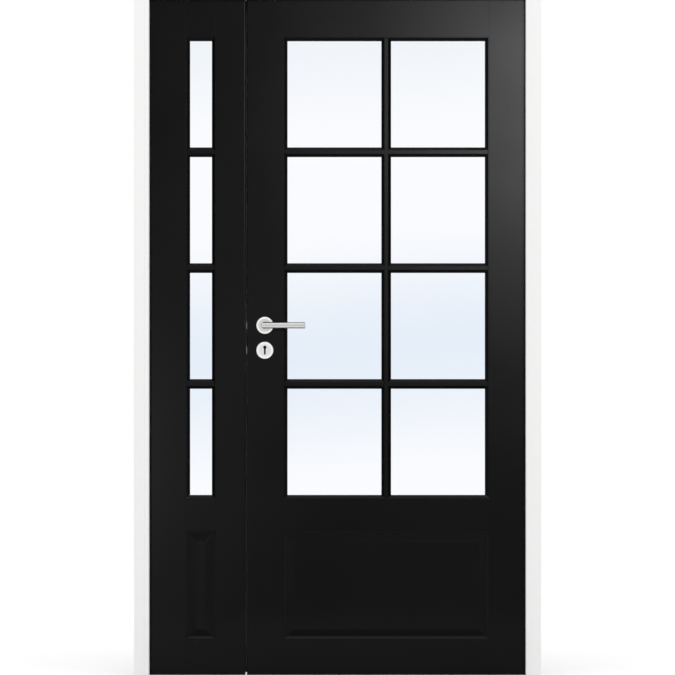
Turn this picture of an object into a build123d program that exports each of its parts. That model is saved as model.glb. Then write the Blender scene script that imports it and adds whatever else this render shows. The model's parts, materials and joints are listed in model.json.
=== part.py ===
from build123d import *
import os

# Leaf pair, all lengths in millimetres
leaf_height = 2040.0
leaf_thickness = 40.0
main_leaf_width = 845.5
side_leaf_width = 295.5
edge_gap = 5.0
meeting_gap = 5.0
floor_gap = 10.0
edge_radius = 2.5

# Frame the leaves hang in
frame_depth = 92.0
jamb_width = 45.0
rebate_width = 13.0
stop_gap = 5.0
frame_edge_radius = 2.0
fixing_hole_radius = 5.0
fixing_foot_inset = 120.0
fixing_head_inset = 107.0
fixing_count = 4
frame_seal_width = 8.0
frame_seal_height = 4.0

# Stiles and rails
hinge_stile_width = 117.0
lock_stile_width = 110.0
meeting_stile_width = 89.0
top_rail_height = 120.0
mid_rail_height = 95.0
bottom_rail_height = 106.0
panel_height = 328.0

# Glazing: one sheet in each leaf with bars on both faces
pane_rows = 4
main_pane_columns = 2
side_pane_columns = 1
glass_thickness = 4.0
bar_width = 27.4
bar_flat = 11.0
bar_setback = 2.0
moulding_width = 11.0
moulding_flat = 2.5
moulding_setback = 1.0
moulding_bevel = 8.0
mitre_gap = 0.1

# Raised and fielded panel
panel_edge_thickness = 25.0
panel_bevel_width = 20.0
panel_least_field = 24.0
panel_field_setback = 1.5
panel_moulding_step = 0.5

# Meeting seal on the side leaf
seal_projection = 3.0
seal_width = 7.0
seal_inset = 1.5
seal_end_gap = 6.0

# Hinges
hinge_count = 3
hinge_foot_inset = 230.0
hinge_head_inset = 200.0
hinge_plate_height = 100.0
hinge_plate_depth = 27.0
hinge_plate_thickness = 2.0
barrel_radius = 7.0
barrel_joint_gap = 0.5
pin_radius = 4.0
pin_length = 40.0
pin_root = 4.0
pin_clearance = 0.1
pin_end_gap = 1.0

# Lever set and lock
backset = 54.0
lever_height = 1062.0
key_drop = 75.0
rose_diameter = 52.0
rose_thickness = 9.0
rose_edge_chamfer = 3.0
lever_diameter = 19.5
lever_length = 121.0
lever_reach = 48.0
lever_end_chamfer = 1.2
lever_clearance = 0.3
spindle_side = 8.0
spindle_socket = 18.0
spindle_hole_radius = 7.5
keyhole_radius = 4.8
keyhole_slot_width = 5.0
keyhole_rise = 9.0
keyhole_fall = 12.5
keyhole_pocket = 10.0
faceplate_height = 235.0
faceplate_width = 20.0
faceplate_thickness = 3.0
bolt_projection = 1.5
latch_height = 18.0
latch_width = 12.0
dead_bolt_height = 22.0
strike_height = 200.0
strike_thickness = 2.0
strike_pocket_depth = 14.0
strike_pocket_clearance = 2.0
flush_bolt_height = 160.0
flush_bolt_inset = 90.0
flush_lever_height = 56.0
flush_lever_width = 8.0
flush_lever_clearance = 1.0
flush_lever_recess = 1.0
flush_pocket_depth = 12.0

# Spare length that carries a cutting shape clear of what it cuts
cut_margin = 1.0

# How near two places are when they count as the same one
same_place = 0.01

# Levels and planes derived from the sizes above
leaf_bottom = floor_gap
leaf_top = leaf_bottom + leaf_height
back = frame_depth / 2
front = back - leaf_thickness
centre_y = (front + back) / 2
stop_back = front - stop_gap
panel_bottom = leaf_bottom + bottom_rail_height
panel_top = panel_bottom + panel_height
glazing_bottom = panel_top + mid_rail_height
glazing_top = leaf_top - top_rail_height
left_rebate = -jamb_width / 2 + (jamb_width - rebate_width)
side_left = left_rebate + edge_gap
side_right = side_left + side_leaf_width
main_left = side_right + meeting_gap
main_right = main_left + main_leaf_width
right_rebate = main_right + edge_gap
frame_left = -jamb_width / 2
frame_right = right_rebate + jamb_width - rebate_width
head_rebate = leaf_top + edge_gap
frame_top = head_rebate + jamb_width - rebate_width
glass_front = centre_y - glass_thickness / 2
glass_back = centre_y + glass_thickness / 2
spindle_x = main_left + backset
key_height = lever_height - key_drop
hinge_low = leaf_bottom + hinge_foot_inset
hinge_spacing = (leaf_top - hinge_head_inset - hinge_low) / (hinge_count - 1)
hinge_heights = [hinge_low + i * hinge_spacing for i in range(hinge_count)]
hinge_axis_y = back + barrel_radius
fixing_spacing = (frame_top - fixing_head_inset - fixing_foot_inset) / (fixing_count - 1)


def block(x0, x1, y0, y1, z0, z1):
    """A box between two corners."""
    box = Box(x1 - x0, y1 - y0, z1 - z0)
    return Pos((x0 + x1) / 2, (y0 + y1) / 2, (z0 + z1) / 2) * box


def along_y(shape_2d, y0, y1):
    """A sketch in X and Z carried from y0 to y1."""
    placed = Plane(origin=(0, y0, 0), x_dir=(1, 0, 0), z_dir=(0, -1, 0)) * shape_2d
    return extrude(placed, amount=-(y1 - y0))


def disc_y(x, z, radius, y0, y1):
    """A round bar along Y."""
    return along_y(Pos(x, z) * Circle(radius), y0, y1)


def upright(x0, x1, z0, z1, eased_x, radius):
    """A stile with its two outer upright arrises at eased_x rounded."""
    board = block(x0, x1, front, back, z0, z1)
    picked = [e for e in board.edges().filter_by(Axis.Z) if abs(e.center().X - eased_x) < same_place]
    return fillet(picked, radius)


def strip_section(width, flat, setback, bevel, seat, double):
    """Moulding or bar section: Y across from the outer edge, Z out of the face."""
    run = width - flat if not double else (width - flat) / 2
    if double:
        outline = [
            (-width / 2, -seat),
            (width / 2, -seat),
            (width / 2, -setback - bevel),
            (width / 2 - run, -setback),
            (-width / 2 + run, -setback),
            (-width / 2, -setback - bevel),
        ]
    else:
        outline = [
            (0, -seat),
            (width, -seat),
            (width, -setback - bevel),
            (flat, -setback),
            (0, -setback),
        ]
    return make_face(Plane.YZ * Polyline(*outline, close=True))


def face_plane(x, z, u, v, rear):
    """Plane on a leaf's face: local X runs along u, local Z points out of the leaf."""
    y = back if rear else front
    normal = Vector(*u).cross(Vector(*v))
    return Plane(origin=(x, y, z), x_dir=u, z_dir=normal)


def moulding_frame(x0, x1, z0, z1, seat, bevel, rear):
    """Four mitred strips lining an opening on one face of a leaf."""
    right = (1, 0, 0)
    left = (-1, 0, 0)
    up = (0, 0, 1)
    down = (0, 0, -1)
    corners = [(x0, z0), (x1, z0), (x1, z1), (x0, z1)]
    turns = [(right, up), (up, left), (left, down), (down, right)]
    if rear:
        corners = [(x1, z0), (x0, z0), (x0, z1), (x1, z1)]
        turns = [(left, up), (up, right), (right, down), (down, left)]
    lengths = [x1 - x0, z1 - z0, x1 - x0, z1 - z0]
    strips = []
    for corner, turn, length in zip(corners, turns, lengths):
        section = strip_section(moulding_width, moulding_flat, moulding_setback, bevel, seat, False)
        strip = extrude(section, amount=length, dir=(1, 0, 0))
        wedge = Polyline(
            (mitre_gap, 0),
            (length - mitre_gap, 0),
            (length - moulding_width - mitre_gap, moulding_width),
            (moulding_width + mitre_gap, moulding_width),
            close=True,
        )
        base = Pos(0, 0, -seat - cut_margin) * make_face(wedge)
        cutter = extrude(base, amount=seat + 2 * cut_margin)
        plane = face_plane(corner[0], corner[1], turn[0], turn[1], rear)
        strips.append(plane * (strip & cutter))
    return strips


def bar(x0, z0, x1, z1, seat, rear):
    """A straight glazing bar from one point to another on one face of a leaf."""
    length = max(abs(x1 - x0), abs(z1 - z0))
    section = strip_section(bar_width, bar_flat, bar_setback, moulding_bevel, seat, True)
    solid = extrude(section, amount=length, dir=(1, 0, 0))
    if z1 == z0:
        turn = ((1, 0, 0), (0, 0, 1))
        start = (x0, z0)
        if rear:
            turn = ((-1, 0, 0), (0, 0, 1))
            start = (x1, z0)
    else:
        turn = ((0, 0, 1), (-1, 0, 0))
        start = (x0, z0)
        if rear:
            turn = ((0, 0, 1), (1, 0, 0))
    return face_plane(start[0], start[1], turn[0], turn[1], rear) * solid


def glazing(x0, x1, columns):
    """Mouldings, upright bars, cross bars and the sheet of glass of one leaf."""
    seat = glass_front - front
    z0 = glazing_bottom
    z1 = glazing_top
    mouldings = []
    uprights = []
    crossings = []
    clear_width = x1 - x0 - 2 * moulding_width
    clear_height = z1 - z0 - 2 * moulding_width
    pane_width = (clear_width - (columns - 1) * bar_width) / columns
    pane_height = (clear_height - (pane_rows - 1) * bar_width) / pane_rows
    for rear in (False, True):
        lining = moulding_frame(x0, x1, z0, z1, seat, moulding_bevel, rear)
        mouldings += lining
        stems = []
        for i in range(columns - 1):
            x = x0 + moulding_width + (i + 1) * pane_width + (i + 0.5) * bar_width
            stem = bar(x, z0, x, z1, seat, rear)
            stem = stem - lining[0] - lining[2]
            stems.append(largest(stem))
        uprights += stems
        for j in range(pane_rows - 1):
            z = z0 + moulding_width + (j + 1) * pane_height + (j + 0.5) * bar_width
            cross = bar(x0, z, x1, z, seat, rear)
            cross = cross - lining[1] - lining[3]
            for stem in stems:
                cross = cross - stem
            pieces = [s for s in cross.solids() if s.bounding_box().size.X > pane_width / 2]
            crossings += pieces
    sheet = block(x0, x1, glass_front, glass_back, z0, z1)
    return mouldings, uprights, crossings, sheet


def largest(shape):
    """The biggest solid of a cut shape."""
    return max(shape.solids(), key=lambda s: s.volume)


def panel_outline(low, high, bevel):
    """Section across a raised panel: tongue, bevel, field, bevel, tongue on both faces."""
    tongue = panel_edge_thickness / 2
    field = leaf_thickness / 2 - panel_field_setback
    foot_low = low + moulding_width
    foot_high = high - moulding_width
    near = [
        (low, tongue),
        (foot_low, tongue),
        (foot_low + bevel, field),
        (foot_high - bevel, field),
        (foot_high, tongue),
        (high, tongue),
    ]
    far = [(across, -depth) for across, depth in reversed(near)]
    return near + far


def raised_panel(x0, x1):
    """A fielded panel with the same bevelled border on both faces: two crossed sections."""
    clear_width = x1 - x0 - 2 * moulding_width
    bevel = min(panel_bevel_width, (clear_width - panel_least_field) / 2)
    level = [(x, centre_y + depth) for x, depth in panel_outline(x0, x1, bevel)]
    standing = [(centre_y + depth, z) for z, depth in panel_outline(panel_bottom, panel_top, bevel)]
    level_face = Pos(0, 0, panel_bottom) * make_face(Polyline(*level, close=True))
    standing_face = Pos(x0, 0, 0) * make_face(Plane.YZ * Polyline(*standing, close=True))
    column = extrude(level_face, amount=panel_top - panel_bottom, dir=(0, 0, 1))
    beam = extrude(standing_face, amount=x1 - x0, dir=(1, 0, 0))
    return column & beam


def hinge_plate(x_face, way, z, neck_low, neck_high):
    """A flat plate let into an edge, with a neck that runs out to the barrel."""
    x0 = min(x_face, x_face + way * hinge_plate_thickness)
    x1 = max(x_face, x_face + way * hinge_plate_thickness)
    half = hinge_plate_height / 2
    plate = block(x0, x1, back - hinge_plate_depth, back, z - half, z + half)
    neck = block(x0, x1, back - hinge_plate_depth, hinge_axis_y, neck_low, neck_high)
    return plate + neck


def hinge_rod(axis_x, radius, z_low, z_high):
    """A round bar on a hinge's axis: a knuckle, the pin, or the bore that the pin turns in."""
    return Pos(axis_x, hinge_axis_y, (z_low + z_high) / 2) * Cylinder(radius, z_high - z_low)


def hinge_pair(x_edge, way, z):
    """Frame half with its pin below, leaf half with its bore above; way points to the jamb."""
    axis_x = x_edge + way * edge_gap / 2
    half = hinge_plate_height / 2
    split_low = z - barrel_joint_gap / 2
    split_high = z + barrel_joint_gap / 2
    lower = hinge_rod(axis_x, barrel_radius, z - half, split_low)
    upper = hinge_rod(axis_x, barrel_radius, split_high, z + half)
    frame_half = lower + hinge_plate(x_edge + way * edge_gap, way, z, z - half, split_low)
    frame_half = frame_half + hinge_rod(axis_x, pin_radius, split_low - pin_root, z + pin_length)
    leaf_half = upper + hinge_plate(x_edge, -way, z, split_high, z + half)
    bore_top = z + pin_length + pin_end_gap
    leaf_half = leaf_half - hinge_rod(axis_x, pin_radius + pin_clearance, z - cut_margin, bore_top)
    return frame_half, leaf_half


def plate_pocket(x_face, way, z):
    """The recess a hinge plate is let into."""
    x0 = min(x_face, x_face + way * hinge_plate_thickness)
    x1 = max(x_face, x_face + way * hinge_plate_thickness)
    half = hinge_plate_height / 2
    return block(x0, x1, back - hinge_plate_depth, back + cut_margin, z - half, z + half)


def edge_plate(x0, x1, z_mid, height):
    """A plate let into a meeting edge, in the middle of the leaf's thickness."""
    plate_y = (centre_y - faceplate_width / 2, centre_y + faceplate_width / 2)
    return block(x0, x1, *plate_y, z_mid - height / 2, z_mid + height / 2)


def eased_strip(corners, eased, length, way):
    """A stop: the outline in corners carried a length along way, with the arrises in eased rounded."""
    face = make_face(Polyline(*corners, close=True))
    near = [any((Vector(v) - Vector(*e)).length < same_place for e in eased) for v in face.vertices()]
    picked = [v for v, is_near in zip(face.vertices(), near) if is_near]
    return extrude(fillet(picked, frame_edge_radius), amount=length, dir=way)


def capped_disc(z, low, high, outer):
    """A round plate on a leaf's face, chamfered round its outer face."""
    disc = disc_y(spindle_x, z, rose_diameter / 2, low, high)
    rim = [e for e in disc.edges() if abs(e.center().Y - outer) < same_place]
    return chamfer(rim, rose_edge_chamfer)


# Frame: two jambs and a head of plain board, stops planted on them, and seals in the rebate
jambs = {}
for name, outer, rebate in (
    ("left_jamb", frame_left, left_rebate),
    ("right_jamb", frame_right, right_rebate),
):
    jamb = block(min(outer, rebate), max(outer, rebate), -back, back, 0, frame_top)
    hole_y = (stop_back + back) / 2
    for i in range(fixing_count):
        height = fixing_foot_inset + i * fixing_spacing
        hole = Rot(0, 90, 0) * Cylinder(fixing_hole_radius, 2 * (jamb_width + cut_margin))
        jamb = jamb - Pos(outer, hole_y, height) * hole
    jambs[name] = jamb
head = block(left_rebate, right_rebate, -back, back, head_rebate, frame_top)

stops = []
for rebate, way in ((left_rebate, 1), (right_rebate, -1)):
    inner = rebate + way * rebate_width
    corners = [(rebate, -back, 0), (inner, -back, 0), (inner, stop_back, 0), (rebate, stop_back, 0)]
    stops.append(eased_strip(corners, corners[1:3], head_rebate, (0, 0, 1)))
head_stop_low = head_rebate - rebate_width
corners = [
    (left_rebate, -back, head_rebate),
    (left_rebate, -back, head_stop_low),
    (left_rebate, stop_back, head_stop_low),
    (left_rebate, stop_back, head_rebate),
]
head_stop = eased_strip(corners, corners[1:3], right_rebate - left_rebate, (1, 0, 0))
stops.append(largest(head_stop - stops[0] - stops[1]))

seal_top = head_rebate - frame_seal_width
seal_y = (stop_back, stop_back + frame_seal_height)
frame_seal = [
    block(left_rebate, left_rebate + frame_seal_width, *seal_y, floor_gap, seal_top),
    block(right_rebate - frame_seal_width, right_rebate, *seal_y, floor_gap, seal_top),
    block(left_rebate, right_rebate, *seal_y, seal_top + mitre_gap, head_rebate),
]

# Hinges on both leaves
left_frame_hinges = []
right_frame_hinges = []
side_leaf_hinges = []
main_leaf_hinges = []
side_pockets = []
main_pockets = []
for height in hinge_heights:
    fixed, moving = hinge_pair(side_left, -1, height)
    left_frame_hinges.append(fixed)
    side_leaf_hinges.append(moving)
    side_pockets.append(plate_pocket(side_left, 1, height))
    jambs["left_jamb"] = jambs["left_jamb"] - plate_pocket(left_rebate, -1, height)
    fixed, moving = hinge_pair(main_right, 1, height)
    right_frame_hinges.append(fixed)
    main_leaf_hinges.append(moving)
    main_pockets.append(plate_pocket(main_right, -1, height))
    jambs["right_jamb"] = jambs["right_jamb"] - plate_pocket(right_rebate, 1, height)

# Side leaf
side_inner_left = side_left + hinge_stile_width
side_inner_right = side_right - meeting_stile_width
side_hinge_stile = upright(side_left, side_inner_left, leaf_bottom, leaf_top, side_left, edge_radius)
side_hinge_stile = side_hinge_stile - side_pockets
side_meeting_stile = upright(
    side_inner_right, side_right, leaf_bottom, leaf_top, side_right, edge_radius
)

# Main leaf
main_inner_left = main_left + lock_stile_width
main_inner_right = main_right - hinge_stile_width
main_lock_stile = upright(main_left, main_inner_left, leaf_bottom, leaf_top, main_left, edge_radius)
main_hinge_stile = upright(
    main_inner_right, main_right, leaf_bottom, leaf_top, main_right, edge_radius
)
main_hinge_stile = main_hinge_stile - main_pockets

rails = {}
for leaf, x0, x1 in (
    ("side", side_inner_left, side_inner_right),
    ("main", main_inner_left, main_inner_right),
):
    rails[leaf + "_top_rail"] = block(x0, x1, front, back, glazing_top, leaf_top)
    rails[leaf + "_mid_rail"] = block(x0, x1, front, back, panel_top, glazing_bottom)
    rails[leaf + "_bottom_rail"] = block(x0, x1, front, back, leaf_bottom, panel_bottom)

panel_seat = leaf_thickness / 2 - panel_edge_thickness / 2
panel_moulding_bevel = panel_seat - moulding_setback - panel_moulding_step
glazed = {}
panels = {}
panel_mouldings = {}
for leaf, x0, x1, columns in (
    ("side", side_inner_left, side_inner_right, side_pane_columns),
    ("main", main_inner_left, main_inner_right, main_pane_columns),
):
    glazed[leaf] = glazing(x0, x1, columns)
    lining = []
    for rear in (False, True):
        lining += moulding_frame(x0, x1, panel_bottom, panel_top, panel_seat, panel_moulding_bevel, rear)
    panels[leaf] = raised_panel(x0, x1)
    panel_mouldings[leaf] = lining

# Lock, strike, flush bolts and seal on the meeting edges
lock_mid = (lever_height + key_height) / 2
faceplate = edge_plate(main_left, main_left + faceplate_thickness, lock_mid, faceplate_height)
main_lock_stile = main_lock_stile - faceplate
latch_y = (centre_y - latch_width / 2, centre_y + latch_width / 2)
bolt_x = (main_left - bolt_projection, main_left + faceplate_thickness)
latch_z = (lever_height - latch_height / 2, lever_height + latch_height / 2)
bolt_z = (key_height - dead_bolt_height / 2, key_height + dead_bolt_height / 2)
latch = block(*bolt_x, *latch_y, *latch_z)
dead_bolt = block(*bolt_x, *latch_y, *bolt_z)
faceplate = faceplate - latch - dead_bolt

strike = edge_plate(side_right - strike_thickness, side_right, lock_mid, strike_height)
side_meeting_stile = side_meeting_stile - strike
for low, high in (latch_z, bolt_z):
    pocket_z = (low - strike_pocket_clearance, high + strike_pocket_clearance)
    pocket = block(side_right - strike_pocket_depth, side_right, *latch_y, *pocket_z)
    strike = strike - pocket
    side_meeting_stile = side_meeting_stile - pocket

flush_bolts = []
bolt_reach = flush_bolt_inset + flush_bolt_height / 2
pocket_half_y = flush_lever_width / 2 + flush_lever_clearance
pocket_half_z = flush_lever_height / 2 + flush_lever_clearance
pocket_floor = side_right - flush_pocket_depth
for middle in (leaf_bottom + bolt_reach, leaf_top - bolt_reach):
    plate = edge_plate(side_right - faceplate_thickness, side_right, middle, flush_bolt_height)
    pocket_y = (centre_y - pocket_half_y, centre_y + pocket_half_y)
    pocket = block(pocket_floor, side_right, *pocket_y, middle - pocket_half_z, middle + pocket_half_z)
    side_meeting_stile = side_meeting_stile - plate - pocket
    flush_bolts.append(plate - pocket)
    lever_y = (centre_y - flush_lever_width / 2, centre_y + flush_lever_width / 2)
    lever_z = (middle - flush_lever_height / 2, middle + flush_lever_height / 2)
    flush_bolts.append(block(pocket_floor, side_right - flush_lever_recess, *lever_y, *lever_z))

meeting_seal = block(
    side_right,
    side_right + seal_projection,
    back - edge_radius - seal_inset - seal_width,
    back - edge_radius - seal_inset,
    leaf_bottom + seal_end_gap,
    leaf_top - seal_end_gap,
)

# Lever set: roses, key plates, levers and spindle
bore = disc_y(spindle_x, lever_height, spindle_hole_radius, front - cut_margin, back + cut_margin)
main_lock_stile = main_lock_stile - bore
slot_top = key_height + keyhole_rise
keyhole = Pos(spindle_x, slot_top) * Circle(keyhole_radius)
slot_height = keyhole_rise + keyhole_fall
keyhole = keyhole + Pos(spindle_x, slot_top - slot_height / 2) * Rectangle(keyhole_slot_width, slot_height)
roses = {}
key_plates = {}
levers = {}
for side, face, way in (("front", front, -1), ("back", back, 1)):
    outer = face + way * rose_thickness
    low = min(face, outer)
    high = max(face, outer)
    hole_radius = lever_diameter / 2 + lever_clearance
    hole = disc_y(spindle_x, lever_height, hole_radius, low - cut_margin, high + cut_margin)
    roses[side] = capped_disc(lever_height, low, high, outer) - hole
    key_cut = along_y(keyhole, low - cut_margin, high + cut_margin)
    key_plates[side] = capped_disc(key_height, low, high, outer) - key_cut
    pocket_end = face - way * keyhole_pocket
    main_lock_stile = main_lock_stile - along_y(keyhole, min(face, pocket_end), max(face, pocket_end))
    neck = face + way * lever_clearance
    reach = face + way * lever_reach
    path = Polyline(
        (spindle_x, neck, lever_height),
        (spindle_x, reach, lever_height),
        (spindle_x + lever_length, reach, lever_height),
    )
    start = Plane(origin=(spindle_x, neck, lever_height), x_dir=(1, 0, 0), z_dir=(0, way, 0))
    lever = sweep(start * Circle(lever_diameter / 2), path=path, transition=Transition.RIGHT)
    tip_x = spindle_x + lever_length
    tip = [e for e in lever.edges() if abs(e.center().X - tip_x) < same_place]
    levers[side] = chamfer(tip, lever_end_chamfer)

half = spindle_side / 2
spindle = block(
    spindle_x - half,
    spindle_x + half,
    front - lever_clearance - spindle_socket,
    back + lever_clearance + spindle_socket,
    lever_height - half,
    lever_height + half,
)
for side in levers:
    levers[side] = levers[side] - spindle

# One file for each named piece
nodes = {
    "left_jamb": jambs["left_jamb"],
    "right_jamb": jambs["right_jamb"],
    "head": head,
    "door_stops": stops,
    "frame_seal": frame_seal,
    "left_frame_hinges": left_frame_hinges,
    "right_frame_hinges": right_frame_hinges,
    "side_hinge_stile": side_hinge_stile,
    "side_meeting_stile": side_meeting_stile,
    "side_panel": panels["side"],
    "side_panel_moulding": panel_mouldings["side"],
    "side_glazing_moulding": glazed["side"][0],
    "side_cross_bars": glazed["side"][2],
    "side_glass": glazed["side"][3],
    "side_leaf_hinges": side_leaf_hinges,
    "strike_plate": strike,
    "flush_bolts": flush_bolts,
    "meeting_seal": meeting_seal,
    "main_hinge_stile": main_hinge_stile,
    "main_lock_stile": main_lock_stile,
    "main_panel": panels["main"],
    "main_panel_moulding": panel_mouldings["main"],
    "main_glazing_moulding": glazed["main"][0],
    "main_upright_bars": glazed["main"][1],
    "main_cross_bars": glazed["main"][2],
    "main_glass": glazed["main"][3],
    "main_leaf_hinges": main_leaf_hinges,
    "lock_faceplate": faceplate,
    "lock_bolts": [latch, dead_bolt],
    "front_rose": roses["front"],
    "back_rose": roses["back"],
    "front_key_plate": key_plates["front"],
    "back_key_plate": key_plates["back"],
    "front_lever": levers["front"],
    "back_lever": levers["back"],
    "spindle": spindle,
}
nodes.update(rails)

os.makedirs("parts", exist_ok=True)
for name, shape in nodes.items():
    if isinstance(shape, list):
        shape = Compound(children=[piece for item in shape for piece in item.solids()])
    export_step(shape, "parts/" + name + ".step")
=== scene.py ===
"""Looks of the unequal double door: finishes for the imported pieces, and the small pieces that dress them.

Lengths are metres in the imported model's own frame: +X across the doorway, +Y the way the leaves open, +Z up.
The photographed faces of the leaves look along -Y.
"""

import json
import logging
import math
from dataclasses import dataclass, field
from enum import Enum

import bmesh
import bpy
import numpy as np
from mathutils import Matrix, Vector

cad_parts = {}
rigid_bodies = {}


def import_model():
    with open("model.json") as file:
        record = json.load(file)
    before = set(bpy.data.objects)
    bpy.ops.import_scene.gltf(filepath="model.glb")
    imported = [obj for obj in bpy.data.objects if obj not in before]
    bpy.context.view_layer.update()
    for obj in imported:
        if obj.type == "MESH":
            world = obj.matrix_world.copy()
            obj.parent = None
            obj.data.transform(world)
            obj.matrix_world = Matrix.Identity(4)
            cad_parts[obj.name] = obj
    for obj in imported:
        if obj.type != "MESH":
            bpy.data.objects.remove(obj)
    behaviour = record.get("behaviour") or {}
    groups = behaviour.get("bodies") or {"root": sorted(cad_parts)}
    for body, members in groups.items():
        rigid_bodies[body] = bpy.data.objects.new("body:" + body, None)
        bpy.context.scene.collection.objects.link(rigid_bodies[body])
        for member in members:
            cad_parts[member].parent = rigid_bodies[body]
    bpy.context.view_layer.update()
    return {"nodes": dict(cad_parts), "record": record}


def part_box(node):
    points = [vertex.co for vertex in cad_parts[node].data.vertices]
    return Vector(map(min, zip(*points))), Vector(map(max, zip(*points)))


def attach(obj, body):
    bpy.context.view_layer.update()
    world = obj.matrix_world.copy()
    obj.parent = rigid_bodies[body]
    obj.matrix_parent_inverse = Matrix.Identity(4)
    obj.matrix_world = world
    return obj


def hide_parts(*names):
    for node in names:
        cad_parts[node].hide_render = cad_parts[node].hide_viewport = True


for stray in list(bpy.data.objects):
    bpy.data.objects.remove(stray)
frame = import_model()

log = logging.getLogger("door")
Point = tuple[float, float, float]
Colour = tuple[float, float, float]
Range = tuple[float, float]
Socket = bpy.types.NodeSocket
Sockets = bpy.types.bpy_prop_collection
Material = bpy.types.Material


class Side(Enum):
    """The two faces of a leaf, with the way that each face looks along Y."""

    FRONT = -1.0
    BACK = 1.0

    @property
    def word(self) -> str:
        """The face's word in the names of nodes and pieces."""
        return self.name.lower()


class Grain(Enum):
    """How the lines of a brushed finish run, as the scale of noise along each axis; rings have none."""

    ALONG_X = (6.0, 1500.0, 1500.0)
    ALONG_Z = (1500.0, 1500.0, 6.0)
    RINGS = (0.0, 0.0, 0.0)


@dataclass(frozen=True)
class Seat:
    """Where a small piece sits: an origin and three unit axes, the third pointing out of the surface."""

    origin: Point
    across: Point
    along: Point
    out: Point

    def place(self, local: np.ndarray) -> np.ndarray:
        """Carry local points a, b, c to the model's frame: origin + a * across + b * along + c * out."""
        basis = np.array([self.across, self.along, self.out])
        return np.array(self.origin) + local @ basis


def face_seat(x: float, y: float, z: float, side: Side) -> Seat:
    """A seat on a leaf's face, whose third axis looks out of that face."""
    return Seat((x, y, z), (1.0, 0.0, 0.0), (0.0, 0.0, 1.0), (0.0, side.value, 0.0))


def edge_seat(x: float, y: float, z: float, way: float) -> Seat:
    """A seat on an upright edge that looks along +X where way is 1 and along -X where it is -1."""
    return Seat((x, y, z), (0.0, 1.0, 0.0), (0.0, 0.0, 1.0), (way, 0.0, 0.0))


@dataclass(frozen=True)
class Bounds:
    """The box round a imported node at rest."""

    low: np.ndarray
    high: np.ndarray

    @classmethod
    def of(cls, node: str) -> "Bounds":
        """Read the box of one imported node."""
        low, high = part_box(node)
        return cls(np.array(low), np.array(high))

    @property
    def centre(self) -> np.ndarray:
        """The middle of the box."""
        return (self.low + self.high) / 2

    @property
    def size(self) -> np.ndarray:
        """The box's extent along each axis."""
        return self.high - self.low

    @property
    def span(self) -> Range:
        """Foot and top of the box."""
        return self.low[2], self.high[2]

    def foot(self, side: Side) -> float:
        """Where a fitting on that face meets the leaf, along Y."""
        return self.high[1] if side is Side.FRONT else self.low[1]


def stacked(x: np.ndarray | float, y: np.ndarray | float, z: np.ndarray | float) -> np.ndarray:
    """Three coordinates as one array of points, spread to a common shape."""
    return np.stack(np.broadcast_arrays(x, y, z), axis=-1)


@dataclass
class Patch:
    """A surface on a grid of two parameters.

    Attributes:
        points: rows by columns by three coordinates.
        wrap_rows: whether the last row joins the first.
        wrap_columns: whether the last column joins the first.
    """

    points: np.ndarray
    wrap_rows: bool = False
    wrap_columns: bool = False

    def quads(self, start: int) -> np.ndarray:
        """Number the faces of the grid.

        Args:
            start: index of the grid's first point in the whole mesh.

        Returns:
            Four indices for each cell: (i, j), (i, j+1), (i+1, j+1), (i+1, j), taken round the wrapped ends.
        """
        rows, columns = self.points.shape[:2]
        i = np.arange(rows if self.wrap_rows else rows - 1)[:, None]
        j = np.arange(columns if self.wrap_columns else columns - 1)[None, :]
        below = (i + 1) % rows
        beside = (j + 1) % columns
        corners = (i * columns + j, i * columns + beside, below * columns + beside, below * columns + j)
        return start + np.stack([np.broadcast_to(c, (i.size, j.size)).ravel() for c in corners], axis=1)


@dataclass
class Piece:
    """A new piece of the door, gathered from patches into one mesh.

    Attributes:
        name: the object's name.
        body: the body that it rides on.
        slot: the material slot named for it; not used.
        sharp: the angle in degrees past which an edge is shaded as a crease.
        patches: the surfaces that make it up.
    """

    name: str
    body: str
    slot: str
    sharp: float = 35.0
    patches: list[Patch] = field(default_factory=list)

    merge_distance = 2e-6

    def add(self, patch: Patch) -> None:
        """Add one surface to the piece."""
        self.patches.append(patch)

    def build(self, material: Material, replaced: tuple[str, ...] = ()) -> None:
        """Make the object, close its seams and poles, and seat it on its body.

        Args:
            material: the finish.
            replaced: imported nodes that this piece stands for.
        """
        starts = np.cumsum([0] + [p.points.shape[0] * p.points.shape[1] for p in self.patches])
        points = np.concatenate([p.points.reshape(-1, 3) for p in self.patches])
        faces = np.concatenate([p.quads(s) for p, s in zip(self.patches, starts)])
        mesh = bpy.data.meshes.new(self.name)
        mesh.from_pydata(points.tolist(), [], faces.tolist())
        work = bmesh.new()
        work.from_mesh(mesh)
        bmesh.ops.remove_doubles(work, verts=work.verts, dist=self.merge_distance)
        bmesh.ops.dissolve_degenerate(work, edges=work.edges, dist=self.merge_distance)
        bmesh.ops.recalc_face_normals(work, faces=work.faces)
        work.to_mesh(mesh)
        work.free()
        mesh.polygons.foreach_set("use_smooth", np.ones(len(mesh.polygons), dtype=bool))
        mesh.set_sharp_from_angle(angle=math.radians(self.sharp))
        mesh.materials.append(material)
        made = bpy.data.objects.new(self.name, mesh)
        bpy.context.scene.collection.objects.link(made)
        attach(made, self.body)
        if replaced:
            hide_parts(*replaced)
        log.info("%s on %s: %d faces", self.name, self.body, len(mesh.polygons))


def turned(radii: np.ndarray, heights: np.ndarray, steps: int, seat: Seat) -> Patch:
    """A surface of revolution: place s on the profile and turn t give (r(s) cos t, r(s) sin t, h(s)).

    Args:
        radii: r at each place on the profile.
        heights: h at each place, out of the seat.
        steps: number of turns in a full circle.
        seat: where the axis stands.

    Returns:
        The surface, closed round its axis.
    """
    turn = np.linspace(0.0, 2 * np.pi, steps, endpoint=False)
    local = stacked(np.outer(radii, np.cos(turn)), np.outer(radii, np.sin(turn)), heights[:, None])
    return Patch(seat.place(local), wrap_columns=True)


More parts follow.
